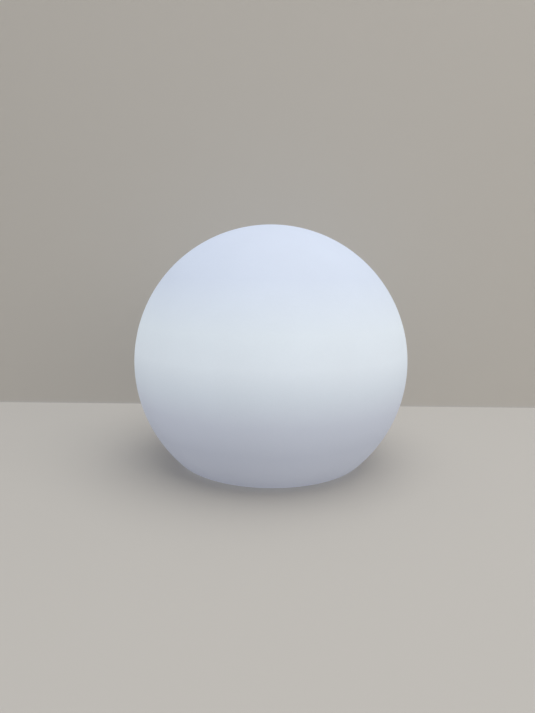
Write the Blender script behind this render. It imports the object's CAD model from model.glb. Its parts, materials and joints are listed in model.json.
# %% [markdown]
# # A glowing garden globe
# This lesson dresses a finished construction: a hollow plastic ball, lit from inside, that twists
# off a small light module. The construction fixes every size, so here we only add what makes it
# look real: soft forms, mould texture, frosted and lit surfaces, and a studio to see them in.

# %% Load the construction
import itertools
import math

import bpy
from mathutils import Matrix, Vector
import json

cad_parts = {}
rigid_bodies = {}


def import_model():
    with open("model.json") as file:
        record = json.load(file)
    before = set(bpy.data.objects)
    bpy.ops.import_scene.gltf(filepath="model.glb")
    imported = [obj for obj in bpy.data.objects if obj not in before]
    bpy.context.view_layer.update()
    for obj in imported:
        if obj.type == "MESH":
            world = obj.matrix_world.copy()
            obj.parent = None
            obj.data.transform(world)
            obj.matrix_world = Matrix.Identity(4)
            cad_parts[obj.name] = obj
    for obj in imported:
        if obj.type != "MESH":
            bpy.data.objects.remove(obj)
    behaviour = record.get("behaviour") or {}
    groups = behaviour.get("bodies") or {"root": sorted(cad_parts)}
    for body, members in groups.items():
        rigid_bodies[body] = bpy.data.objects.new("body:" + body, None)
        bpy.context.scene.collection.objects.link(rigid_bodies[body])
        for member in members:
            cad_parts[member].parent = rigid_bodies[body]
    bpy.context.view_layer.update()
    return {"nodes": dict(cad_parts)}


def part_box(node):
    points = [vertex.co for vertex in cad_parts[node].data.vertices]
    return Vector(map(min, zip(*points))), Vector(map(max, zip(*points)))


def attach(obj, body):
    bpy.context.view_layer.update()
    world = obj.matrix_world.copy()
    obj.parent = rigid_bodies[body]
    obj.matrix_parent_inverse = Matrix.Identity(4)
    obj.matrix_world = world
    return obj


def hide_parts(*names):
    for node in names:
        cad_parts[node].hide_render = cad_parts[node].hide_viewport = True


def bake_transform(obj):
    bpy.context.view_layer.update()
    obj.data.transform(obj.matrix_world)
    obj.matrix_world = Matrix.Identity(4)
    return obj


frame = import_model()
nodes = frame["nodes"]

# %% [markdown]
# ## Measures
# A piece that replaces part of the construction has to sit exactly where that part was. So its
# sizes are read from the parts' boxes and from how near their points come to the upright axis. Only
# what neither can tell, such as the radius of a moulded edge, is written down as a number.

# %% Measures of the globe and the module
MM = 0.001


def bore_radius(node, level):
    """The smallest distance from the upright axis of a part's points below a level."""
    return min(math.hypot(point.co.x, point.co.y) for point in nodes[node].data.vertices
               if point.co.z < level)


shell_low, shell_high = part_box("globe_shell")
lens_low, lens_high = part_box("lens_dome")
globe_radius = shell_high.x
globe_centre = Vector((0, 0, shell_high.z - globe_radius))
neck_radius = bore_radius("globe_shell", globe_centre.z)
base_z, recess_z = shell_low.z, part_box("collar_ring")[0].z
WALL = 3 * MM
BASE_ROUND = 7 * MM
RECESS_RADIUS = 54 * MM
RECESS_ROUND = 1.2 * MM
print("globe radius", round(globe_radius, 4), "neck radius", round(neck_radius, 4))


# %% [markdown]
# ## Selecting
# An operator works on whatever is selected. So every step starts by selecting just what it needs,
# by name, or by the place and the direction of a face, and never trusts what was left selected.

# %% Helpers for selecting
# How nearly a face's normal has to lie along an axis for the face to count as looking that way.
FACING = 0.9


def enter(mode):
    """Goes to object mode or to edit mode."""
    bpy.ops.object.mode_set(mode=mode)


def deselect():
    if bpy.context.mode != "OBJECT":
        enter("OBJECT")
    bpy.ops.object.select_all(action="DESELECT")


def activate(piece):
    deselect()
    piece.select_set(True)
    bpy.context.view_layer.objects.active = piece


def select_whole():
    """Selects all of the mesh that is being edited."""
    bpy.ops.mesh.select_all(action="SELECT")


def pick_faces(piece, wanted):
    """Selects the faces whose centre and normal satisfy a test, and leaves edit mode on."""
    activate(piece)
    enter("EDIT")
    bpy.ops.mesh.select_mode(type="FACE")
    bpy.ops.mesh.select_all(action="DESELECT")
    enter("OBJECT")
    for face in piece.data.polygons:
        face.select = wanted(face.center, face.normal)
    enter("EDIT")


# %% [markdown]
# ## Drawing by turning
# Much of this light is round. A round piece that we model ourselves starts as half of its section.
# We put down one vertex, extrude it along straight lines, and spin it round a centre where the
# section is an arc. A last spin round the upright axis turns the section into a solid. A lathe
# works the same way, and every radius stays exact.

# %% Turned sections
SAME_POINT = 2e-7


class Section:
    """Half a cross-section in the XZ plane, drawn in edit mode from one vertex."""

    def __init__(self, name, x, z):
        deselect()
        bpy.ops.mesh.primitive_plane_add(size=MM, location=(0, 0, 0))
        self.piece = bpy.context.object
        self.piece.name = self.piece.data.name = name
        enter("EDIT")
        bpy.ops.mesh.select_mode(type="VERT")
        select_whole()
        bpy.ops.mesh.merge(type="CENTER")
        bpy.ops.transform.translate(value=(x, 0, z))
        self.x, self.z = x, z

    def line(self, x, z):
        """A straight stretch to a point."""
        step = (x - self.x, 0, z - self.z)
        bpy.ops.mesh.extrude_region_move(TRANSFORM_OT_translate={"value": step})
        self.x, self.z = x, z
        return self

    def path(self, points, across=1.0, up=1.0):
        """Straight stretches through points given as shares of a width and of a height."""
        for x, z in points:
            self.line(x * across, z * up)
        return self

    def arc(self, x, z, degrees, steps):
        """A stretch round a centre; a positive angle turns clockwise as seen from the front."""
        turn = math.radians(degrees)
        # The spin operator turns against the right-hand rule, so its angle is negated.
        bpy.ops.mesh.spin(steps=steps, angle=-turn, center=(x, 0, z), axis=(0, 1, 0))
        dx, dz = self.x - x, self.z - z
        self.x = x + dx * math.cos(turn) + dz * math.sin(turn)
        self.z = z - dx * math.sin(turn) + dz * math.cos(turn)
        return self

    def turn(self, steps):
        """Spins the section round the upright axis and closes the seam and the poles."""
        select_whole()
        bpy.ops.mesh.remove_doubles(threshold=SAME_POINT)
        select_whole()
        bpy.ops.mesh.spin(steps=steps, angle=math.tau, center=(0, 0, 0), axis=(0, 0, 1))
        select_whole()
        bpy.ops.mesh.remove_doubles(threshold=SAME_POINT)
        bpy.ops.mesh.normals_make_consistent(inside=False)
        enter("OBJECT")
        return self.piece


# %% [markdown]
# ## Copies of construction parts
# Most other parts have the right form already, with all their bosses, ribs and holes, but their mesh
# is a pile of loose, flat triangles. We take a copy, weld its points, melt the flat triangles together
# and break the sharp edges a little, because no moulded or machined edge is perfectly sharp.

# %% Refined copies
WELD = 1e-6
FLAT_ANGLE = math.radians(0.2)
SHARP_ANGLE = math.radians(40)


def break_edges(piece, width, segments=2):
    """Rounds the edges at which the surface turns sharply."""
    activate(piece)
    bevel = piece.modifiers.new("broken_edges", "BEVEL")
    bevel.width, bevel.segments = width, segments
    bevel.limit_method, bevel.angle_limit = "ANGLE", SHARP_ANGLE
    bpy.ops.object.modifier_apply(modifier=bevel.name)


def refined_copy(node, edge=0.0, segments=2):
    """A welded copy of a construction part, with its sharp edges broken by a small round."""
    activate(nodes[node])
    bpy.ops.object.duplicate()
    piece = bpy.context.object
    bpy.ops.object.parent_clear(type="CLEAR_KEEP_TRANSFORM")
    for key in list(piece.keys()):
        del piece[key]
    piece.name = piece.data.name = node + "_finish"
    enter("EDIT")
    select_whole()
    bpy.ops.mesh.remove_doubles(threshold=WELD)
    bpy.ops.mesh.dissolve_limited(angle_limit=FLAT_ANGLE)
    enter("OBJECT")
    if edge:
        break_edges(piece, edge, segments)
    return piece


# %% The separate solids of a part
def middle(low, high):
    return (low + high) / 2


def solids_of(node):
    """The lowest and highest corner of each separate solid in a part, in order round the axis."""
    piece = refined_copy(node)
    enter("EDIT")
    bpy.ops.mesh.separate(type="LOOSE")
    enter("OBJECT")
    boxes = []
    for solid in list(bpy.context.selected_objects):
        corners = [point.co for point in solid.data.vertices]
        low = Vector([min(c[axis] for c in corners) for axis in range(3)])
        high = Vector([max(c[axis] for c in corners) for axis in range(3)])
        boxes.append((low, high))
    bpy.ops.object.delete()
    return sorted(boxes, key=lambda pair: math.atan2(pair[0].y + pair[1].y, pair[0].x + pair[1].x))


# A replaced part is hidden and can't be copied any more, so all of this is measured first.
solids = {node: solids_of(node) for node in (
    "collar_screws", "cover_screws", "lens_screws", "light_screws", "control_screws", "tray_screws",
    "rubber_feet", "leds", "driver_chips")}
print({node: len(boxes) for node, boxes in solids.items()})


def centres(node):
    """The middle of each separate solid in a part."""
    return [middle(low, high) for low, high in solids[node]]


# %% Boxes, pins and holes
def cube(name, place, size):
    """A box of a size, with its middle at a place."""
    deselect()
    bpy.ops.mesh.primitive_cube_add(size=1, location=place)
    piece = bpy.context.object
    piece.name = piece.data.name = name
    piece.scale = size
    bpy.ops.object.transform_apply()
    return piece


def pin(radius, depth, place, sides=24):
    """A round pin with its middle at a place, to cut a hole with."""
    deselect()
    bpy.ops.mesh.primitive_cylinder_add(vertices=sides, radius=radius, depth=depth, location=place)
    return bpy.context.object


def bore(piece, cutters):
    """Cuts the cutters out of a piece and removes them."""
    for cutter in cutters:
        cut = piece.modifiers.new("hole", "BOOLEAN")
        cut.operation, cut.solver, cut.object = "DIFFERENCE", "EXACT", cutter
        activate(piece)
        bpy.ops.object.modifier_apply(modifier=cut.name)
        activate(cutter)
        bpy.ops.object.delete()
    activate(piece)


# %% Joining and repeating
def joined(name, pieces):
    """One piece made of several."""
    activate(pieces[0])
    for piece in pieces[1:]:
        piece.select_set(True)
    if len(pieces) > 1:
        bpy.ops.object.join()
    piece = bpy.context.object
    piece.name = piece.data.name = name
    return piece


def repeated(name, first, places, upside_down=False):
    """A copy at each place, turned about Z by the angle that goes with it, all in one piece."""
    copies = []
    for place, turn in places:
        activate(first)
        bpy.ops.object.duplicate()
        copy = bpy.context.object
        copy.location = place
        copy.rotation_euler = (math.pi if upside_down else 0, 0, turn)
        bpy.ops.object.transform_apply()
        copies.append(copy)
    activate(first)
    bpy.ops.object.delete()
    return joined(name, copies)


# %% Finishing a piece
made = []


def settle(piece, slot, material, *replaced, body="light_module", smooth=35):
    """Gives a finished piece its shading, its material and its place in the construction."""
    activate(piece)
    bpy.ops.object.transform_apply()
    bpy.ops.object.shade_smooth_by_angle(angle=math.radians(smooth))
    if material is not None:
        piece.data.materials.clear()
        piece.data.materials.append(material)
    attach(piece, body)
    if replaced:
        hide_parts(*replaced)
    made.append(piece)
    print(piece.name, len(piece.data.polygons), "faces")
    return piece


def dress(node, slot, finish, edge=0.0, body="light_module", smooth=35):
    """A refined copy of a construction part, finished and in the part's own place."""
    return settle(refined_copy(node, edge), slot, finish, node, body=body, smooth=smooth)


# %% [markdown]
# ## Helpers for materials
# A material is a small graph. These helpers keep each graph to a few readable lines. Every pattern
# is laid out on a point's own place on the piece, so it stays put when the piece moves.

# %% Helpers for node trees
def fill(tree, socket, value):
    """Sets a socket to a plain value, or links another node's output to it."""
    if isinstance(value, bpy.types.NodeSocket):
        tree.links.new(value, socket)
    else:
        socket.default_value = value


def feed(tree, node, **sockets):
    """Fills a node's sockets by name, with an underscore for each space."""
    for key, value in sockets.items():
        fill(tree, node.inputs[key.replace("_", " ")], value)
    return node


def add(tree, kind, settings=None, **sockets):
    """Adds a node with its settings and fills its sockets."""
    node = tree.nodes.new(kind)
    for key, value in (settings or {}).items():
        setattr(node, key, value)
    return feed(tree, node, **sockets)


def here(tree):
    """The place of a point on its piece, in metres."""
    return add(tree, "ShaderNodeTexCoord").outputs["Object"]


def noise(tree, place, scale, detail, **sockets):
    """A cloudy value round 0.5, with about as many clouds in a metre as the scale says."""
    clouds = add(tree, "ShaderNodeTexNoise", Vector=place, Scale=scale, Detail=detail, **sockets)
    return clouds.outputs["Fac"]


def spread(tree, value, low, high, first, last):
    """Maps one range of a value to another, and holds it at both ends."""
    return add(tree, "ShaderNodeMapRange", Value=value, From_Min=low, From_Max=high, To_Min=first,
               To_Max=last).outputs[0]


def brightened(tree, colour, factor):
    """A colour times a factor."""
    node = add(tree, "ShaderNodeVectorMath", {"operation": "SCALE"}, Scale=factor)
    fill(tree, node.inputs[0], colour)
    return node.outputs[0]


def calculate(tree, operation, *values):
    """A Math node on plain values or sockets; gives its output."""
    node = tree.nodes.new("ShaderNodeMath")
    node.operation = operation
    for socket, value in zip(node.inputs, values):
        fill(tree, socket, value)
    return node.outputs[0]


def blend_colours(tree, share, first, second):
    """A Mix node on two colours, whose sockets go by number."""
    node = tree.nodes.new("ShaderNodeMix")
    node.data_type = "RGBA"
    for index, value in ((0, share), (6, first), (7, second)):
        fill(tree, node.inputs[index], value)
    return node.outputs[2]


def colour_stops(tree, share, stops):
    """A Color Ramp through (position, (r, g, b)) stops."""
    node = tree.nodes.new("ShaderNodeValToRGB")
    ramp = node.color_ramp
    while len(ramp.elements) < len(stops):
        ramp.elements.new(0.5)
    for element, (position, colour) in zip(ramp.elements, stops):
        element.position = position
        element.color = (*colour, 1)
    tree.links.new(share, node.inputs["Fac"])
    return node.outputs["Color"]


def new_material(name, **sockets):
    """A material with a Principled BSDF, and the node tree to go on with."""
    material = bpy.data.materials.new(name)
    material.use_nodes = True
    tree = material.node_tree
    return material, tree, feed(tree, tree.nodes["Principled BSDF"], **sockets)


def linear(red, green, blue):
    """A colour as it is read off a picture, 0 to 255, as the shader wants it."""
    parts = [c / 255 for c in (red, green, blue)]
    return *(c / 12.92 if c <= 0.04045 else ((c + 0.055) / 1.055) ** 2.4 for c in parts), 1


# %% [markdown]
# ## Effects that several materials share
# Each effect is a node group with named sockets, built once and placed wherever it is needed.
# Mould grain is what a blasted mould leaves on plastic: two sizes of noise that only bend the
# normal. Tone drift moves a colour a little from place to place and gathers dust in a fine speckle,
# because no real surface is one flat colour. Drawn metal has fine lines all along one axis.

# %% Node groups
def new_group(name, inputs, outputs):
    """An empty node group, with the sockets at which its graph starts and ends."""
    group = bpy.data.node_groups.new(name, "ShaderNodeTree")
    for label, kind, value in inputs:
        socket = group.interface.new_socket(label, in_out="INPUT", socket_type="NodeSocket" + kind)
        socket.default_value = value
    for label, kind in outputs:
        group.interface.new_socket(label, in_out="OUTPUT", socket_type="NodeSocket" + kind)
    return group, group.nodes.new("NodeGroupInput").outputs, group.nodes.new("NodeGroupOutput").inputs


def raised(tree, height, depth):
    """A normal that makes a height of 1 stand up by a depth."""
    return add(tree, "ShaderNodeBump", Strength=1.0, Distance=depth, Height=height).outputs["Normal"]


# %% Mould grain
tree, given, result = new_group(
    "mould_grain",
    [("Grain Scale", "Float", 2500), ("Wave Scale", "Float", 250), ("Depth", "Float", 0.02 * MM)],
    [("Normal", "Vector")])
fine = noise(tree, here(tree), given["Grain Scale"], detail=3)
wide = noise(tree, here(tree), given["Wave Scale"], detail=1)
fill(tree, result["Normal"], raised(tree, calculate(tree, "ADD", fine, wide), given["Depth"]))

# %% Tone drift
DUST_COLOUR = (0.55, 0.53, 0.5, 1)
SPECKS_FROM, SPECKS_TO = 0.56, 0.72
ROUGHNESS_DRIFT = 0.25
DUST_ROUGHNESS = 0.3
tree, given, result = new_group(
    "tone_drift",
    [("Color", "Color", (0.8, 0.8, 0.8, 1)), ("Scale", "Float", 60), ("Drift", "Float", 0.1),
     ("Dust", "Float", 0.1), ("Roughness", "Float", 0.5)],
    [("Color", "Color"), ("Roughness", "Float")])
centred = calculate(tree, "SUBTRACT", noise(tree, here(tree), given["Scale"], detail=4), 0.5)
drift = calculate(tree, "MULTIPLY_ADD", centred, calculate(tree, "MULTIPLY", given["Drift"], 2), 1)
clouds = noise(tree, here(tree), scale=1400, detail=5, Roughness=0.7)
specks = spread(tree, clouds, SPECKS_FROM, SPECKS_TO, 0, 1)
share = calculate(tree, "MULTIPLY", specks, given["Dust"])
toned = brightened(tree, given["Color"], drift)
fill(tree, result["Color"], blend_colours(tree, share, toned, DUST_COLOUR))
rough = calculate(tree, "MULTIPLY_ADD", centred, ROUGHNESS_DRIFT, given["Roughness"])
fill(tree, result["Roughness"], calculate(tree, "MULTIPLY_ADD", share, DUST_ROUGHNESS, rough))

# %% Drawn lines
LINE_ROUGHNESS = 0.4
tree, given, result = new_group(
    "drawn_lines",
    [("Stretch", "Vector", (4000, 120, 120)), ("Depth", "Float", 0.01 * MM),
     ("Roughness", "Float", 0.35)],
    [("Roughness", "Float"), ("Normal", "Vector")])
drawn = add(tree, "ShaderNodeVectorMath", {"operation": "MULTIPLY"})
fill(tree, drawn.inputs[0], here(tree))
fill(tree, drawn.inputs[1], given["Stretch"])
lines = noise(tree, drawn.outputs[0], scale=1, detail=2)
centred = calculate(tree, "SUBTRACT", lines, 0.5)
rough = calculate(tree, "MULTIPLY_ADD", centred, LINE_ROUGHNESS, given["Roughness"])
fill(tree, result["Roughness"], rough)
fill(tree, result["Normal"], raised(tree, lines, given["Depth"]))


# %% Placing the effects
def place_group(tree, name, **sockets):
    return add(tree, "ShaderNodeGroup", {"node_tree": bpy.data.node_groups[name]}, **sockets)


def tone(tree, shader, colour, roughness, drift=0.05, dust=0.0, scale=60):
    """Colour and roughness that drift a little over the surface."""
    toned = place_group(tree, "tone_drift", Color=colour, Drift=drift, Dust=dust, Roughness=roughness,
                        Scale=scale)
    feed(tree, shader, Base_Color=toned.outputs["Color"], Roughness=toned.outputs["Roughness"])


def grain(tree, shader, fine, wide, depth):
    """The mark that a blasted mould leaves, on the normal alone."""
    skin = place_group(tree, "mould_grain", Grain_Scale=fine, Wave_Scale=wide, Depth=depth)
    feed(tree, shader, Normal=skin.outputs["Normal"])


def from_axis(tree):
    """The coordinates X and Y of a point, and its distance from the upright axis."""
    parts = add(tree, "ShaderNodeSeparateXYZ", Vector=here(tree))
    x, y = parts.outputs["X"], parts.outputs["Y"]
    squares = calculate(tree, "ADD", calculate(tree, "MULTIPLY", x, x), calculate(tree, "MULTIPLY", y, y))
    return x, y, calculate(tree, "SQRT", squares)


# %% [markdown]
# ## Plastics, rubbers and metals of the module
# The plastics and rubbers differ in colour, gloss and grain, but are built alike: a drifting tone
# for the colour and the roughness, and mould grain for the normal. In the metals, drawn lines take
# the grain's place. So two functions make them all, and each finish reads as a short description.

# %% Finishes of plastic, rubber and metal
def moulded(name, colour, roughness=0.5, dust=0.1, fine=2500, depth=0.02 * MM, **sockets):
    """A moulded plastic or rubber, with its colour as it is read off a picture."""
    material, tree, shader = new_material(name, **sockets)
    tone(tree, shader, linear(*colour), roughness, drift=0.06, dust=dust)
    grain(tree, shader, fine, wide=250, depth=depth)
    return material


def metal(name, colour, roughness, stretch):
    """A metal with fine drawn or turned lines and a slightly clouded tone."""
    material, tree, shader = new_material(name, Metallic=1.0)
    tone(tree, shader, linear(*colour), roughness, drift=0.08, scale=400)
    lines = place_group(tree, "drawn_lines", Stretch=stretch, Depth=0.006 * MM, Roughness=roughness)
    # The lines are far stronger than the clouds, so their roughness takes the place of the tone's.
    feed(tree, shader, Roughness=lines.outputs["Roughness"], Normal=lines.outputs["Normal"])
    return material


module_plastic = moulded("module_plastic", (226, 228, 230), roughness=0.45, dust=0.05, depth=0.03 * MM)
collar_plastic = moulded("collar_plastic", (222, 225, 229), roughness=0.42, depth=0.015 * MM)
button_rubber = moulded("button_rubber", (150, 154, 160), roughness=0.6, dust=0.15, depth=0.02 * MM)
symbol_print = moulded("symbol_print", (48, 52, 60), roughness=0.45, dust=0.05, depth=0.004 * MM)
foot_rubber = moulded("foot_rubber", (52, 52, 54), roughness=0.75, dust=0.12, fine=1800)
seal_rubber = moulded("seal_rubber", (176, 180, 184), roughness=0.55, dust=0.1, depth=0.01 * MM)
plug_silicone = moulded("plug_silicone", (172, 176, 182), roughness=0.55, dust=0.2, depth=0.012 * MM,
                        Sheen_Weight=0.15)
grommet_rubber = moulded("grommet_rubber", (70, 70, 72), roughness=0.65, dust=0.1)
tray_plastic = moulded("tray_plastic", (44, 45, 48), roughness=0.5, dust=0.02)
part_plastic = moulded("part_plastic", (34, 34, 36), roughness=0.45, depth=0.008 * MM, dust=0.02)
header_plastic = moulded("header_plastic", (228, 224, 212), roughness=0.4, depth=0.006 * MM)
screw_zinc = metal("screw_zinc", (176, 178, 182), roughness=0.32, stretch=(900, 900, 5000))
socket_nickel = metal("socket_nickel", (196, 194, 188), roughness=0.28, stretch=(150, 150, 4500))
spreader_metal = metal("spreader_metal", (200, 202, 205), roughness=0.42, stretch=(5000, 90, 90))
can_metal = metal("can_metal", (190, 192, 195), roughness=0.3, stretch=(200, 200, 4000))
print(len(bpy.data.materials), "materials so far")

# %% [markdown]
# ## The glowing plastic
# The globe is natural-coloured polyethylene, cast in a turning mould. It is matt, a little waxy,
# and lit evenly from inside. A shader could scatter real light through the wall, but that is slow
# and noisy. So the plastic glows by itself. Its glow is strongest round the middle, bluer towards
# the top and faint at the foot. With the lamps' light added, that gives the tones of the photograph.
# It also drifts a little, because the cast wall is thicker in some places than in others.

# %% The globe's plastic
PLASTIC = (0.52, 0.54, 0.56, 1)
GLOW_HEIGHTS = [
    (0.000, (0.12, 0.13, 0.175)), (0.030, (0.095, 0.11, 0.165)), (0.050, (0.14, 0.16, 0.22)),
    (0.069, (0.225, 0.265, 0.315)), (0.086, (0.305, 0.35, 0.395)), (0.105, (0.305, 0.355, 0.40)),
    (0.137, (0.21, 0.26, 0.36)), (0.170, (0.195, 0.245, 0.36))]


def unevenness(tree, scale, detail, drift, **sockets):
    """A factor round 1 that drifts up and down over the piece."""
    clouds = noise(tree, here(tree), scale, detail, **sockets)
    return spread(tree, clouds, 0.3, 0.7, 1 - drift, 1 + drift)


glowing_plastic, tree, shader = new_material("glowing_plastic", Emission_Strength=1.0, IOR=1.5,
                                             Specular_IOR_Level=0.12)
height = add(tree, "ShaderNodeSeparateXYZ", Vector=here(tree)).outputs["Z"]
share = calculate(tree, "DIVIDE", height, shell_high.z)
glow = colour_stops(tree, share, [(level / shell_high.z, colour) for level, colour in GLOW_HEIGHTS])
wall = unevenness(tree, scale=16, detail=3, drift=0.035, Roughness=0.55)
mottle = unevenness(tree, scale=900, detail=2, drift=0.015)
feed(tree, shader, Emission_Color=brightened(tree, glow, calculate(tree, "MULTIPLY", wall, mottle)))
tone(tree, shader, PLASTIC, roughness=0.56, drift=0.03, dust=0.03, scale=25)
grain(tree, shader, fine=1700, wide=330, depth=0.035 * MM)

# %% [markdown]
# ## The globe
# The shell is a ball with a flattened base, a round where the ball meets the flat, a stepped recess
# for the module's flange and a neck hole. The section runs once round the wall, outside and in. The
# wall has its real thickness, so the neck shows it when the globe is lifted off. The screws of
# the collar sit in six countersunk holes, which are cut where the construction has its screws.

# %% The globe's shell
round_x = math.sqrt((globe_radius - BASE_ROUND) ** 2 - (globe_centre.z - base_z - BASE_ROUND) ** 2)
drop = math.degrees(math.atan2(globe_centre.z - base_z - BASE_ROUND, round_x))
recess_wall = RECESS_RADIUS + WALL
print("the ball ends", round(drop, 1), "degrees below its middle")

# From the recess over the outside to the top, and back down the inside.
shell = Section("cast_globe", RECESS_RADIUS, recess_z).line(RECESS_RADIUS, base_z + RECESS_ROUND)
shell.arc(RECESS_RADIUS + RECESS_ROUND, base_z + RECESS_ROUND, -90, 5).line(round_x, base_z)
shell.arc(round_x, base_z + BASE_ROUND, drop - 90, 12).arc(0, globe_centre.z, -(90 + drop), 90)
shell.line(0, globe_centre.z + globe_radius - WALL).arc(0, globe_centre.z, 90 + drop, 54)
shell.arc(round_x, base_z + BASE_ROUND, 90 - drop, 6).line(recess_wall, base_z + WALL)
shell.line(recess_wall, recess_z + WALL - RECESS_ROUND).line(recess_wall - RECESS_ROUND, recess_z + WALL)
shell.line(neck_radius, recess_z + WALL).line(neck_radius, recess_z).line(RECESS_RADIUS, recess_z)
globe = shell.turn(216)

# %% The globe's countersunk holes
SINK_PLAY = 0.05 * MM
SINK_SHANK = 1.3 * MM
SINK_DEPTH = 1.5 * MM


def countersink(low, high):
    """A cutter for a countersunk hole, a hair wider than the screw that its box describes."""
    head = (high.x - low.x) / 2 + SINK_PLAY
    hole = Section("countersink", 0, -MM).line(head, -MM).line(head, 0).line(SINK_SHANK, SINK_DEPTH)
    cutter = hole.line(SINK_SHANK, 2 * WALL).line(0, 2 * WALL).turn(24)
    centre = middle(low, high)
    cutter.location = (centre.x, centre.y, recess_z)
    return cutter


bore(globe, [countersink(low, high) for low, high in solids["collar_screws"]])
settle(globe, "globe_white", glowing_plastic, "globe_shell", body="globe", smooth=28)


# %% [markdown]
# ## Screws
# All the screws are small, but they are what the eye lands on when the light is turned over. One
# function turns the head and shank and cuts the cross recess, which is broader towards the face;
# the rest only says where the construction has its screws, and which way their heads look.

# %% A screw with a cross recess
# The pan head's outline, as shares of its radius and of its thickness.
PAN_OUTLINE = [(0.45, 1), (0.75, 0.8875), (0.93, 0.685), (1, 0.415), (1, 0)]
FLAT_RIM = 0.12 * MM
TIP_LENGTH = 0.6 * MM
TIP_SHARE = 0.35
# The cross recess: its width and length as shares of the head's radius, and its depth as a share of
# the head's thickness. Its floor is shorter and narrower than its mouth.
CROSS_WIDTH, CROSS_LENGTH, CROSS_DEPTH = 0.32, 1.25, 0.62
CROSS_FLOOR = (0.45, 0.7, 1)
FACE_PLAY = 0.05 * MM


def cross_cutter(face, width, length, depth):
    """Two crossed wedges that reach down from a face and are narrower at the bottom."""
    blades = []
    for turn in (0, math.pi / 2):
        blade = cube("blade", (0, 0, face + FACE_PLAY - depth / 2), (length, width, depth))
        pick_faces(blade, lambda centre, normal: normal.z < -FACING)
        bpy.ops.transform.resize(value=CROSS_FLOOR)
        enter("OBJECT")
        blade.rotation_euler = (0, 0, turn)
        bpy.ops.object.transform_apply()
        blades.append(blade)
    return blades


def turned_screw(head, thick, shank, length, crowned):
    """A screw on the upright axis, its head's seat at height 0 and its head up."""
    if crowned:
        screw = Section("screw", 0, thick).path(PAN_OUTLINE, head, thick).line(shank, 0)
    else:
        screw = Section("screw", 0, 0).line(head, 0).line(head, -FLAT_RIM).line(shank, -thick)
    screw.line(shank, TIP_LENGTH - length).line(TIP_SHARE * shank, -length).line(0, -length)
    piece = screw.turn(28)
    bore(piece, cross_cutter(thick if crowned else 0, CROSS_WIDTH * head, CROSS_LENGTH * head,
                             CROSS_DEPTH * thick))
    return piece


# %% All the screws
# The radius of the head, its thickness and the radius of the shank.
PAN_SCREW = (2.3 * MM, 1.6 * MM, 1.25 * MM)
SMALL_PAN_SCREW = (1.9 * MM, 1.3 * MM, 0.95 * MM)
FLAT_SCREW = (2.8 * MM, 1.5 * MM, 1.25 * MM)
FIRST_TURN, NEXT_TURN = math.radians(11), math.radians(37)


def place_screws(node, sizes, crowned=True, face_down=False, body="light_module"):
    """Puts a copy of one screw wherever the construction has one, each turned a different way."""
    head, thick, shank = sizes
    low, high = solids[node][0]
    proud = thick if crowned else 0
    seat = low.z + proud if face_down else high.z - proud
    screw = turned_screw(head, thick, shank, high.z - low.z - proud, crowned)
    places = [((spot.x, spot.y, seat), FIRST_TURN + NEXT_TURN * number)
              for number, spot in enumerate(centres(node))]
    piece = repeated(node + "_cross_headed", screw, places, face_down)
    settle(piece, "screw_steel", screw_zinc, node, body=body)


place_screws("cover_screws", PAN_SCREW, face_down=True)
place_screws("collar_screws", FLAT_SCREW, crowned=False, face_down=True, body="globe")
place_screws("lens_screws", SMALL_PAN_SCREW)
place_screws("light_screws", PAN_SCREW)
place_screws("control_screws", PAN_SCREW)
place_screws("tray_screws", FLAT_SCREW, crowned=False)


# %% [markdown]
# ## Feet
# Each foot is a soft disc pressed into a socket. Its sole has a raised ring and a hollow middle, so
# that it grips like a sucker and doesn't rock on a grain of sand. One is turned and then copied.

# %% Rubber feet
SOLE_HOLLOW = 0.35 * MM
SOLE_GROOVE = 0.25 * MM
SOLE_ROUND = 0.7 * MM
# The sole's outline: a share of the foot's radius, and a height.
SOLE = [(0.38, SOLE_HOLLOW), (0.46, 0), (0.62, 0), (0.65, SOLE_GROOVE), (0.71, SOLE_GROOVE), (0.74, 0)]

low, high = solids["rubber_feet"][0]
radius, height = (high.x - low.x) / 2, high.z - low.z
foot = Section("foot", 0, SOLE_HOLLOW).path(SOLE, radius).line(radius - SOLE_ROUND, 0)
foot.arc(radius - SOLE_ROUND, SOLE_ROUND, -90, 5).line(radius, height).line(0, height)
places = [((spot.x, spot.y, low.z), 0) for spot in centres("rubber_feet")]
settle(repeated("grip_feet", foot.turn(48), places), "foot_rubber", foot_rubber, "rubber_feet")

# %% [markdown]
# ## Moulded casings
# The housing, its cover and the collar are full of bosses, ribs, ramps and holes that the
# construction already has right. Refined copies keep all of them, and only break their edges.

# %% Housing, cover, collar and button
BROKEN_EDGE = 0.15 * MM
FINE_EDGE = 0.1 * MM
dress("module_housing", "module_white", module_plastic, BROKEN_EDGE)
dress("base_cover", "module_white", module_plastic, BROKEN_EDGE)
dress("collar_ring", "module_white", collar_plastic, BROKEN_EDGE, "globe")
dress("power_button", "button_grey", button_rubber, body="button")
dress("neck_seal", "seal_rubber", seal_rubber, FINE_EDGE, "neck_seal_carrier")

# %% [markdown]
# ## The sign on the button
# A broken ring with a bar is the common sign for on and off. It is a raised print, a twelfth of a
# millimetre proud: a flat bar, and a ring that is the outline of the bar's cross-section spun round
# the button's centre.

# %% On and off sign
SIGN_RADIUS = 2.1 * MM
SIGN_STROKE = 0.55 * MM
SIGN_THICK = 0.16 * MM
SIGN_SWEEP = math.radians(290)
SIGN_START = math.radians(35)

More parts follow.
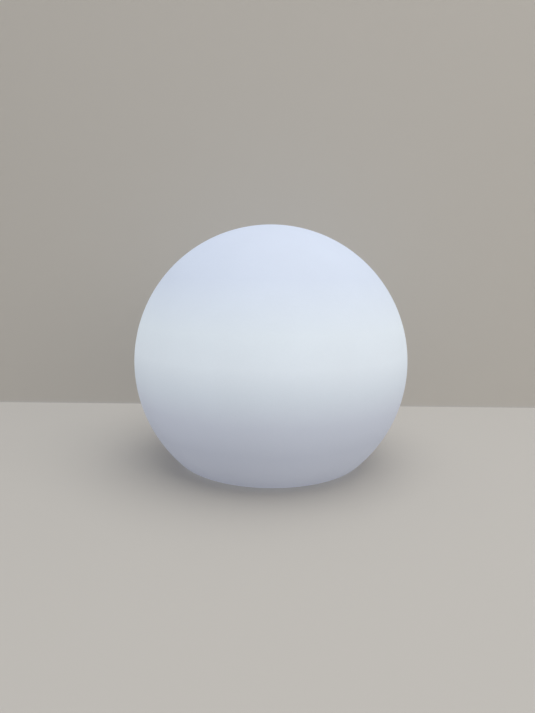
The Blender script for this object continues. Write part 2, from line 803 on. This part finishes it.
deselect()
bpy.ops.mesh.primitive_plane_add(size=1, location=(0, 0, 0), rotation=(math.pi / 2, 0, 0))
ring = bpy.context.object
ring.scale = (SIGN_STROKE, SIGN_THICK, 1)
ring.location = (SIGN_RADIUS, 0, 0)
bpy.ops.object.transform_apply()
enter("EDIT")
select_whole()
bpy.ops.mesh.delete(type="ONLY_FACE")
select_whole()
bpy.ops.mesh.spin(steps=40, angle=-SIGN_SWEEP, center=(0, 0, 0), axis=(0, 0, 1))
select_whole()
bpy.ops.mesh.fill_holes(sides=4)
select_whole()
bpy.ops.mesh.normals_make_consistent(inside=False)
enter("OBJECT")
ring.rotation_euler = (0, 0, SIGN_START)
bar = cube("bar", (1.8 * MM, 0, 0), (2.1 * MM, SIGN_STROKE, SIGN_THICK))
break_edges(bar, 0.05 * MM)
sign = joined("button_sign", [ring, bar])
low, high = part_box("power_button")
sign.location = (middle(low, high).x, 0, low.z)
settle(sign, "button_grey", symbol_print, body="button")


# %% [markdown]
# ## The soft plug
# One piece of silicone covers the charging port: a flap with a hollow stem, a barb that holds it in
# the cover, and a thin web between the two that bends. The construction has it as two stiff
# halves. Here they are joined by the web, and the whole piece bends when the plug is swung out.

# %% Soft boxes
def soft_box(name, foot, size, edge=0.0, rows=0):
    """A box on the middle of its foot, rounded, and cut into rows along X if it has to bend."""
    x, y, z = foot
    piece = cube(name, (x, y, z + size[2] / 2), size)
    if rows:
        enter("EDIT")
        for row in range(1, rows):
            select_whole()
            bpy.ops.mesh.bisect(plane_co=(x + size[0] * (row / rows - 0.5), 0, 0), plane_no=(1, 0, 0))
        enter("OBJECT")
    if edge:
        break_edges(piece, edge, 3)
    return piece


# %% The port's plug
RIDGE = (0.4 * MM, 5.2 * MM, 0.44 * MM)
RIDGE_PITCH = 0.9 * MM
WEB_LENGTH = 1.4 * MM
WEB_THICK = 0.65 * MM
WEB_INSET = 0.6 * MM
WEB_LIFT = 0.05 * MM

flap = refined_copy("port_plug", 0.2 * MM, 3)
anchor = refined_copy("plug_anchor", 0.15 * MM)
low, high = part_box("port_plug")
fold_x, underside = (high.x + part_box("plug_anchor")[0].x) / 2, low.z
web = soft_box("web", (fold_x, middle(low, high).y, underside + WEB_LIFT),
               (WEB_LENGTH, high.y - low.y - 2 * WEB_INSET, WEB_THICK), rows=8)
ridges = [soft_box("ridge", (low.x + RIDGE_PITCH * row + RIDGE[0] / 2, 0, underside - RIDGE[2] / 2), RIDGE,
                   0.12 * MM) for row in (1, 2, 3)]
plug = joined("soft_plug", [flap, anchor, web, *ridges])
activate(plug)
bpy.ops.object.shade_smooth_by_angle(angle=math.radians(35))
plug.data.materials.clear()
plug.data.materials.append(plug_silicone)
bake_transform(plug)
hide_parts("port_plug", "plug_anchor")
made.append(plug)
print(plug.name, "folds at", round(fold_x, 4))


# %% [markdown]
# ## The frosted dome
# Under the globe sits the lamp itself: white diodes under a shallow dome of frosted plastic. Each
# diode shows through it as a soft bright spot. The spots are drawn from the distance to the ring on
# which the diodes sit and from the angle round it, so they stay over the diodes from any side.

# %% Frosted plastic with lit spots
SPOT_SIZE = 3.2 * MM
SPOT_GLOW, DOME_GLOW = 0.34, 0.16
# The glow fades between two shares of the dome's radius, to a share of its strength.
FADE_FROM, FADE_TO, FADED = 0.62, 0.84, 0.12
lamp_places = centres("leds")
rings = sorted({round(math.hypot(spot.x, spot.y), 4) for spot in lamp_places})
ring_counts = [sum(abs(math.hypot(spot.x, spot.y) - ring) < MM for spot in lamp_places) for ring in rings]
print("rings of diodes:", list(zip(rings, ring_counts)))


def spots_on_ring(tree, across, away, radius, count):
    """A mask that is 1 over each diode of a ring and fades out round it."""
    step = math.tau / count
    turned = calculate(tree, "FRACT", calculate(tree, "DIVIDE", across, step))
    along = calculate(tree, "MULTIPLY", calculate(tree, "SUBTRACT", turned, 0.5), step * radius)
    off_ring = calculate(tree, "SUBTRACT", away, radius)
    square = calculate(tree, "MULTIPLY_ADD", along, along, calculate(tree, "MULTIPLY", off_ring, off_ring))
    return calculate(tree, "EXPONENT", calculate(tree, "DIVIDE", square, -SPOT_SIZE ** 2))


frosted_plastic, tree, shader = new_material("frosted_plastic", Transmission_Weight=0.55, IOR=1.49,
                                             Emission_Strength=1.0)
x, y, away = from_axis(tree)
across = calculate(tree, "ADD", calculate(tree, "ARCTAN2", y, x), math.tau)
spots = calculate(tree, "ADD", *[spots_on_ring(tree, across, away, radius, count)
                                 for radius, count in zip(rings, ring_counts)])
lit = spread(tree, away, FADE_FROM * lens_high.x, FADE_TO * lens_high.x, 1, FADED)
level = calculate(tree, "MULTIPLY", calculate(tree, "MULTIPLY_ADD", spots, SPOT_GLOW, DOME_GLOW), lit)
feed(tree, shader, Emission_Color=brightened(tree, (0.93, 0.98, 1.0), level))
tone(tree, shader, (0.56, 0.59, 0.62, 1), roughness=0.5, drift=0.03, dust=0.05)
grain(tree, shader, fine=4000, wide=200, depth=0.012 * MM)

# %% [markdown]
# ## The dome's form
# The dome is turned like the globe. Its crown is part of a large sphere, and its flange has eased
# edges and a hole under each screw, cut where the construction has its screws.

# %% The dome
DOME_WALL = 1.8 * MM
DOME_CROWN = 10 * MM
EASE = 0.5 * MM
FLANGE_THICK = 2.2 * MM
FLANGE_HOLE = 1.15 * MM
SPREADER_GAP = 1 * MM


def crown_sphere(radius, height):
    """The radius of the sphere that a crown is part of, and the angle from its top to its rim."""
    sweep = (radius ** 2 + height ** 2) / (2 * height)
    return sweep, math.degrees(math.asin(radius / sweep))


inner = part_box("heat_spreader")[1].x + SPREADER_GAP
outer, flange = inner + DOME_WALL, lens_high.x
flange_top, inner_top = lens_low.z + FLANGE_THICK, lens_high.z - DOME_WALL
sweep, rim_angle = crown_sphere(outer, DOME_CROWN)
inner_sweep, inner_angle = crown_sphere(inner, DOME_CROWN - DOME_WALL)
half = Section("frosted_dome", inner, lens_low.z).line(flange, lens_low.z)
half.line(flange, flange_top - EASE).arc(flange - EASE, flange_top - EASE, -90, 4)
half.line(outer + EASE, flange_top).arc(outer + EASE, flange_top + EASE, 90, 4)
half.line(outer, lens_high.z - DOME_CROWN).arc(0, lens_high.z - sweep, -rim_angle, 30)
half.line(0, inner_top).arc(0, inner_top - inner_sweep, inner_angle, 24).line(inner, lens_low.z)
dome = half.turn(144)
bore(dome, [pin(FLANGE_HOLE, 3 * FLANGE_THICK, (spot.x, spot.y, flange_top))
            for spot in centres("lens_screws")])
settle(dome, "lens_frosted", frosted_plastic, "lens_dome")


# %% [markdown]
# ## The diodes
# Each diode is a white ceramic box with a shallow well of yellow phosphor, which is what makes blue
# light white. We model one, sink its well, and copy it to each place, turned to face outward.

# %% The diodes' two finishes
def two_finishes(piece, first, second, wanted):
    """Gives the faces that satisfy a test the second material, and all others the first."""
    piece.data.materials.clear()
    piece.data.materials.append(first)
    piece.data.materials.append(second)
    for face in piece.data.polygons:
        face.material_index = int(wanted(face.center, face.normal))


lit_phosphor, tree, shader = new_material("lit_phosphor", Emission_Strength=1.0, Roughness=0.5)
grains = add(tree, "ShaderNodeTexVoronoi", Vector=here(tree), Scale=9000)
tint = colour_stops(tree, grains.outputs["Distance"], [(0, (1.0, 0.93, 0.6)), (0.7, (0.95, 0.98, 1.0))])
feed(tree, shader, Emission_Color=tint, Base_Color=tint)
diode_body = moulded("diode_body", (236, 236, 230), roughness=0.4, dust=0, depth=0.004 * MM)

# %% Diodes
DIODE = (3.5 * MM, 2.8 * MM, 0.8 * MM)
DIODE_RIM = 0.35 * MM
WELL_SLOPE = 0.22 * MM
WELL_DEPTH = 0.25 * MM

diode = soft_box("diode", (0, 0, 0), DIODE)
pick_faces(diode, lambda centre, normal: normal.z > FACING)
bpy.ops.mesh.inset(thickness=DIODE_RIM, depth=0)
bpy.ops.mesh.inset(thickness=WELL_SLOPE, depth=-WELL_DEPTH)
enter("OBJECT")
two_finishes(diode, diode_body, lit_phosphor,
             lambda centre, normal: normal.z > FACING and centre.z < DIODE[2] - WELL_DEPTH / 2)
board_z = solids["leds"][0][0].z
places = [((spot.x, spot.y, board_z), math.atan2(spot.y, spot.x)) for spot in lamp_places]
settle(repeated("lit_diodes", diode, places), "diode_lit", None, "leds")


# %% [markdown]
# ## Boards
# A circuit board is glass cloth under a thin coloured varnish. Where copper runs beneath it, the
# varnish stands a little higher and looks a little lighter. The light board has ring-shaped copper
# lands under its diodes. The control board has areas of copper, with rows of tracks between them.

# %% Circuit board finishes
LAND_HALF = 2.6 * MM
COPPER_THICK = 0.03 * MM
ROUTED_FROM = 0.42


def varnish(name, pattern, bare, covered, coat, roughness, drift):
    """Varnish over a board, with copper under it where the pattern's mask is 1."""
    material, tree, shader = new_material(name, Coat_Weight=coat)
    mask = pattern(tree)
    tone(tree, shader, blend_colours(tree, mask, bare, covered), roughness, drift)
    feed(tree, shader, Normal=raised(tree, mask, COPPER_THICK))
    return material


def round_lands(tree):
    """A ring of copper under each ring of diodes."""
    away = from_axis(tree)[2]
    return calculate(tree, "ADD", *[calculate(tree, "COMPARE", away, ring, LAND_HALF) for ring in rings])


def straight_tracks(tree):
    """Areas of copper, and between them areas with rows of straight tracks."""
    place = here(tree)
    areas = add(tree, "ShaderNodeTexVoronoi", {"distance": "CHEBYCHEV"}, Vector=place, Scale=150)
    tracks = add(tree, "ShaderNodeTexBrick", Vector=place, Scale=260, Mortar_Size=0.07,
                 Mortar_Smooth=0.1, Bias=0, Brick_Width=2.6, Row_Height=0.3)
    routed = calculate(tree, "GREATER_THAN", areas.outputs["Color"], ROUTED_FROM)
    return calculate(tree, "SUBTRACT", 1, calculate(tree, "MULTIPLY", tracks.outputs["Fac"], routed))


light_board_varnish = varnish("light_board_varnish", round_lands, linear(226, 227, 222),
                              linear(238, 239, 236), coat=0.3, roughness=0.35, drift=0.03)
control_board_varnish = varnish("control_board_varnish", straight_tracks, linear(16, 78, 46),
                                linear(34, 112, 66), coat=0.4, roughness=0.3, drift=0.05)

# %% Boards and what lies under the dome
BOARD_EDGE = 0.08 * MM
dress("light_board", "board_white", light_board_varnish, BOARD_EDGE)
dress("heat_spreader", "spreader_aluminium", spreader_metal, FINE_EDGE)
dress("control_board", "board_green", control_board_varnish, BOARD_EDGE)
dress("lens_seal", "seal_rubber", seal_rubber, FINE_EDGE)
dress("cover_seal", "seal_rubber", seal_rubber, FINE_EDGE)
dress("harness_grommet", "seal_rubber", grommet_rubber, FINE_EDGE)


# %% [markdown]
# ## Cells
# A rechargeable cell is a steel can in a shrunk plastic sleeve. The sleeve stops short of the ends,
# where it curls over the rim, and a white ring insulates the raised contact. All of that follows
# from the distance along the cell, so one material covers it. The bands are woven tape: two waves
# that cross make the threads.

# %% Cell sleeve
CONTACT_HEIGHT = 1.5 * MM
RING_WIDTH = 0.25 * MM
RIM_CURL = 0.2 * MM
STRIPE_IN, STRIPE_HALF = 4 * MM, 0.8 * MM
cells_low, cells_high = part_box("battery_cells")
contact = cells_high.x - CONTACT_HEIGHT
cell_sleeve, tree, shader = new_material("cell_sleeve", Coat_Weight=0.2)
along = add(tree, "ShaderNodeSeparateXYZ", Vector=here(tree)).outputs["X"]
plus_end = calculate(tree, "GREATER_THAN", along, contact + RIM_CURL)
minus_end = calculate(tree, "LESS_THAN", along, cells_low.x + RING_WIDTH)
steel = calculate(tree, "MAXIMUM", plus_end, minus_end)
ring = calculate(tree, "GREATER_THAN", along, contact - RING_WIDTH)
stripe = calculate(tree, "COMPARE", along, contact - STRIPE_IN, STRIPE_HALF)
film = blend_colours(tree, stripe, linear(38, 104, 140), linear(214, 220, 222))
film = blend_colours(tree, ring, film, linear(235, 235, 230))
tone(tree, shader, blend_colours(tree, steel, film, linear(190, 190, 186)), roughness=0.28)
ripples = noise(tree, here(tree), scale=180, detail=2)
feed(tree, shader, Metallic=steel, Normal=raised(tree, ripples, 0.03 * MM))

# %% Woven tape
THREAD_HEIGHT = 0.08 * MM
woven_tape, tree, shader = new_material("woven_tape", Roughness=0.8, Sheen_Weight=0.3)
threads = add(tree, "ShaderNodeTexWave", {"bands_direction": "X"}, Vector=here(tree), Scale=700,
              Distortion=1.5)
across = add(tree, "ShaderNodeTexWave", {"bands_direction": "DIAGONAL"}, Vector=here(tree), Scale=500)
weave = calculate(tree, "MULTIPLY", threads.outputs["Fac"], across.outputs["Fac"])
colour = blend_colours(tree, weave, linear(38, 38, 42), linear(92, 92, 98))
feed(tree, shader, Base_Color=colour, Normal=raised(tree, weave, THREAD_HEIGHT))

# %% Cells, tray and bands
dress("battery_cells", "cell_wrap", cell_sleeve)
dress("battery_tray", "tray_black", tray_plastic, 0.12 * MM)
dress("battery_straps", "strap_web", woven_tape)
dress("battery_tabs", "socket_steel", socket_nickel, 0.05 * MM)

# %% [markdown]
# ## Parts on the control board
# These are the small parts that make the board believable when the module is opened: a coil with
# its copper winding, chips with their legs, small resistors, a can, plug headers with the grooves
# that guide a plug, and the charging socket with a dark tongue inside its bright shell.

# %% Coil
COIL_RIM = 0.8 * MM
COIL_BEVEL = 0.2 * MM
COIL_WAIST = 1.1 * MM
WIRE_IN, WIRE_OUT = 0.1 * MM, 0.25 * MM
WIRE_TURNS = 8

low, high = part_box("drum_coil")
radius, height = (high.x - low.x) / 2, high.z - low.z
foot = (middle(low, high).x, middle(low, high).y, low.z)
waist, upper_rim = radius - COIL_WAIST, height - COIL_RIM
drum = Section("coil_drum", 0, 0).line(radius - COIL_BEVEL, 0).line(radius, COIL_BEVEL)
drum.line(radius, COIL_RIM).line(waist, COIL_RIM).line(waist, upper_rim).line(radius, upper_rim)
drum.line(radius, height - COIL_BEVEL).line(radius - COIL_BEVEL, height).line(0, height)
piece = drum.turn(48)
piece.location = foot
settle(piece, "component_black", part_plastic, "drum_coil")

inside, outside = waist - WIRE_IN, waist + WIRE_OUT
pitch = (upper_rim - COIL_RIM) / WIRE_TURNS
wire = Section("coil_winding", inside, COIL_RIM).line(outside, COIL_RIM)
for number in range(WIRE_TURNS):
    wire.arc(outside, COIL_RIM + pitch * (number + 0.5), -180, 6)
winding = wire.line(inside, upper_rim).line(inside, COIL_RIM).turn(48)
winding.location = foot
winding_copper = metal("winding_copper", (190, 110, 66), roughness=0.3, stretch=(300, 300, 6000))
settle(winding, "component_black", winding_copper)

# %% Chips with their legs
LEG = (1 * MM, 0.4 * MM, 0.15 * MM)
LEG_OUT = 0.2 * MM
LEG_LIFT = 0.05 * MM
LEG_PITCH = 1.1 * MM
LEG_EDGE = 0.04 * MM
DIMPLE_RADIUS, DIMPLE_DEPTH = 0.35 * MM, 0.2 * MM
DIMPLE_INSET = 0.9 * MM

chips = refined_copy("driver_chips", 0.2 * MM)
legs, dimples = [], []
for low, high in solids["driver_chips"]:
    for x, row in itertools.product((low.x - LEG_OUT, high.x + LEG_OUT), range(4)):
        y = middle(low, high).y + (row - 1.5) * LEG_PITCH
        legs.append(soft_box("leg", (x, y, low.z + LEG_LIFT), LEG, LEG_EDGE))
    corner = (low.x + DIMPLE_INSET, low.y + DIMPLE_INSET, high.z)
    dimples.append(pin(DIMPLE_RADIUS, DIMPLE_DEPTH, corner, sides=16))
bore(chips, dimples)
settle(chips, "component_black", part_plastic, "driver_chips")
settle(joined("chip_legs", legs), "socket_steel", can_metal)

# %% Resistors: two pairs beside each chip, each a dark body between two tinned ends
RESISTOR = (1.6 * MM, 1.2 * MM, 0.5 * MM)
RESISTOR_END = (0.4 * MM, 1.26 * MM, 0.54 * MM)
RESISTOR_EDGE, TINNED_EDGE = 0.05 * MM, 0.08 * MM
END_OUT = 0.95 * MM
COLUMNS = (5.5 * MM, 8.7 * MM)
ROWS = (-1.6 * MM, 1.6 * MM)

board_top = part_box("control_board")[1].z
bodies, ends = [], []
for chip, column, row in itertools.product(centres("driver_chips"), COLUMNS, ROWS):
    x, y = chip.x + math.copysign(column, chip.x), chip.y + row
    bodies.append(soft_box("resistor", (x, y, board_top), RESISTOR, RESISTOR_EDGE))
    for end in (x - END_OUT, x + END_OUT):
        ends.append(soft_box("end", (end, y, board_top), RESISTOR_END, TINNED_EDGE))
settle(joined("board_resistors", bodies), "component_black", part_plastic)
settle(joined("resistor_ends", ends), "socket_steel", can_metal)

# %% Headers, with two grooves in each long side
GROOVE_WIDTH = 0.7 * MM
GROOVE_DEPTH = 0.3 * MM
GROOVE_FOOT = 1 * MM
GROOVE_SHARES = (0.28, 0.72)
PLAY = 0.2 * MM
for node in ("battery_header", "light_header"):
    low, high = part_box(node)
    header = refined_copy(node, 0.15 * MM)
    groove = (GROOVE_WIDTH, 2 * GROOVE_DEPTH, high.z - low.z - GROOVE_FOOT + PLAY)
    bore(header, [soft_box("groove", (low.x + share * (high.x - low.x), side, low.z + GROOVE_FOOT), groove)
                  for side in (low.y, high.y) for share in GROOVE_SHARES])
    settle(header, "header_white", header_plastic, node)

# %% Can, switch and charging socket
TONGUE_HALF_X = 3.4 * MM
TONGUE_HALF_Y = 0.4 * MM
SHELL_LIP = 0.5 * MM
dress("storage_capacitor", "spreader_aluminium", can_metal, BROKEN_EDGE)
dress("switch_body", "component_black", part_plastic, FINE_EDGE)
dress("switch_plunger", "component_black", part_plastic, FINE_EDGE, "plunger")

socket = refined_copy("charge_socket")
low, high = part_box("charge_socket")
mouth = middle(low, high)
two_finishes(socket, socket_nickel, part_plastic,
             lambda centre, normal: (abs(centre.x - mouth.x) < TONGUE_HALF_X
                                     and abs(centre.y - mouth.y) < TONGUE_HALF_Y
                                     and centre.z > low.z + SHELL_LIP))
settle(socket, "socket_steel", None, "charge_socket")

# %% [markdown]
# ## Wires
# Wires are soft plastic over copper strands. Their insulation is glossy and has a faint bark from
# the nozzle it was drawn through. At the light board each wire ends in a small cone of solder.

# %% Wires
red_wire = moulded("red_wire", (176, 34, 30), roughness=0.35, dust=0.03, fine=3000, depth=0.006 * MM)
black_wire = moulded("black_wire", (30, 30, 32), roughness=0.35, dust=0.05, fine=3000, depth=0.006 * MM)
for colour, finish in (("_red", red_wire), ("_black", black_wire)):
    for lead in ("battery_lead", "light_lead"):
        dress(lead + colour, "wire" + colour, finish, smooth=60)

# %% Solder
# The cone's outline, in metres from its axis and from the board.
CONE = [(1.1 * MM, 0), (0.95 * MM, 0.12 * MM), (0.72 * MM, 0.4 * MM), (0.62 * MM, 0.9 * MM), (0, 1 * MM)]
END_BELOW, END_ABOVE, END_REACH = 0.1 * MM, 1.5 * MM, 20 * MM


def end_y(wire, board_z):
    """Where a wire comes down on a board: the mean of its points just above the board."""
    points = [point.co for point in nodes[wire].data.vertices]
    near = [p.y for p in points if board_z - END_BELOW < p.z < board_z + END_ABOVE and p.y < END_REACH]
    return sum(near) / len(near)


board_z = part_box("light_board")[1].z
cone = Section("solder_cone", 0, 0).path(CONE).turn(24)
places = [((middle(*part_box(wire)).x, end_y(wire, board_z), board_z), 0)
          for wire in ("light_lead_red", "light_lead_black")]
solder = metal("solder", (206, 206, 208), roughness=0.22, stretch=(900, 900, 900))
settle(repeated("solder_joints", cone, places), "socket_steel", solder)

# %% [markdown]
# ## The studio
# A pale floor and a pale wall close behind, as in the photograph, and soft lamps at a level where a
# colour renders about as it is written. The camera may look through the back of both. The wall is
# only a picture behind the globe: it keeps no light off it, so the globe's back is as bright as its
# front. The floor lets the sky's light up to what is within a few millimetres of it, so that the
# underside, which is worth a look, isn't black in a view from below.

# %% Floor and backdrop
WALL_Y = 0.154
SHEET_SIZE = 12
STUDIO_PAINT = (0.56, 0.53, 0.48, 1)
FLOOR_LIGHT_GAP = 3.6 * MM
ANY_GAP = 100


def send_mix(tree, share, first, second, output):
    """Mixes two shaders by a share and sends the result to the output node."""
    mixed = add(tree, "ShaderNodeMixShader")
    for socket, value in zip(mixed.inputs, (share, first.outputs[0], second.outputs[0])):
        fill(tree, socket, value)
    fill(tree, tree.nodes[output].inputs["Surface"], mixed.outputs[0])


def make_sheet(name, place, tilt, light_gap):
    """A flat sheet, seen only from its front, that lets by soft light from nearer than a gap."""
    deselect()
    bpy.ops.mesh.primitive_plane_add(size=SHEET_SIZE, location=place, rotation=(tilt, 0, 0))
    sheet = bpy.context.object
    sheet.name = name
    material, tree, shader = new_material(name + "_paint", Base_Color=STUDIO_PAINT, Roughness=0.8)
    behind = add(tree, "ShaderNodeNewGeometry").outputs["Backfacing"]
    path = add(tree, "ShaderNodeLightPath")
    soft = calculate(tree, "MAXIMUM", path.outputs["Is Diffuse Ray"], path.outputs["Is Shadow Ray"])
    close = calculate(tree, "LESS_THAN", path.outputs["Ray Length"], light_gap)
    let_by = calculate(tree, "MAXIMUM", behind, calculate(tree, "MULTIPLY", soft, close))
    send_mix(tree, let_by, shader, add(tree, "ShaderNodeBsdfTransparent"), "Material Output")
    sheet.data.materials.append(material)


make_sheet("floor", (0, 0, 0), 0, FLOOR_LIGHT_GAP)
make_sheet("backdrop", (0, WALL_Y, SHEET_SIZE / 2), math.pi / 2, ANY_GAP)

# %% World: sky for the light, and a pale wall wherever the camera looks past the sheets
world = bpy.data.worlds.new("studio_world")
bpy.context.scene.world = world
world.use_nodes = True
tree = world.node_tree
sky = feed(tree, tree.nodes["Background"], Color=(0.93, 0.95, 1.0, 1), Strength=0.6)
wall = add(tree, "ShaderNodeBackground", Color=(0.62, 0.59, 0.54, 1), Strength=1.0)
send_mix(tree, add(tree, "ShaderNodeLightPath").outputs["Is Camera Ray"], sky, wall, "World Output")


# %% Lamps
def make_lamp(name, place, size, power, colour=(1, 1, 1)):
    """A soft area lamp that faces the middle of the globe."""
    deselect()
    bpy.ops.object.light_add(type="AREA", location=place)
    lamp = bpy.context.object
    lamp.name = name
    lamp.data.size = size
    lamp.data.energy = power
    lamp.data.color = colour
    lamp.rotation_euler = (Vector(place) - globe_centre).to_track_quat("Z", "Y").to_euler()


make_lamp("overhead_lamp", (0.3, -0.3, 1.6), size=1.6, power=11)
make_lamp("side_lamp", (1.4, -1.0, 0.8), size=1.2, power=4, colour=(1.0, 0.93, 0.84))

# %% [markdown]
# ## The camera
# The view was fitted to the photograph: a wide lens, close to the globe, looking slightly down on
# it. The globe's outline is a true circle off the middle of the picture, so the camera is aimed
# by its own pitch and roll and not at the globe's centre.

# %% Camera
CAMERA_FROM_CENTRE = Vector((-0.032, -3.982, 0.691))
CAMERA_PITCH = math.radians(90 - 9.4)
CAMERA_ROLL = math.radians(-0.64)
LENS = 27.0
NEAREST = 0.01

deselect()
bpy.ops.object.camera_add(location=globe_centre + CAMERA_FROM_CENTRE * globe_radius,
                          rotation=(CAMERA_PITCH, CAMERA_ROLL, 0))
camera = bpy.context.object
camera.data.lens = LENS
camera.data.clip_start = NEAREST
bpy.context.scene.camera = camera
bpy.context.scene.view_settings.view_transform = "Standard"

# %% Record the size and finish
print(len(made), "pieces,", sum(len(piece.data.polygons) for piece in made), "faces")
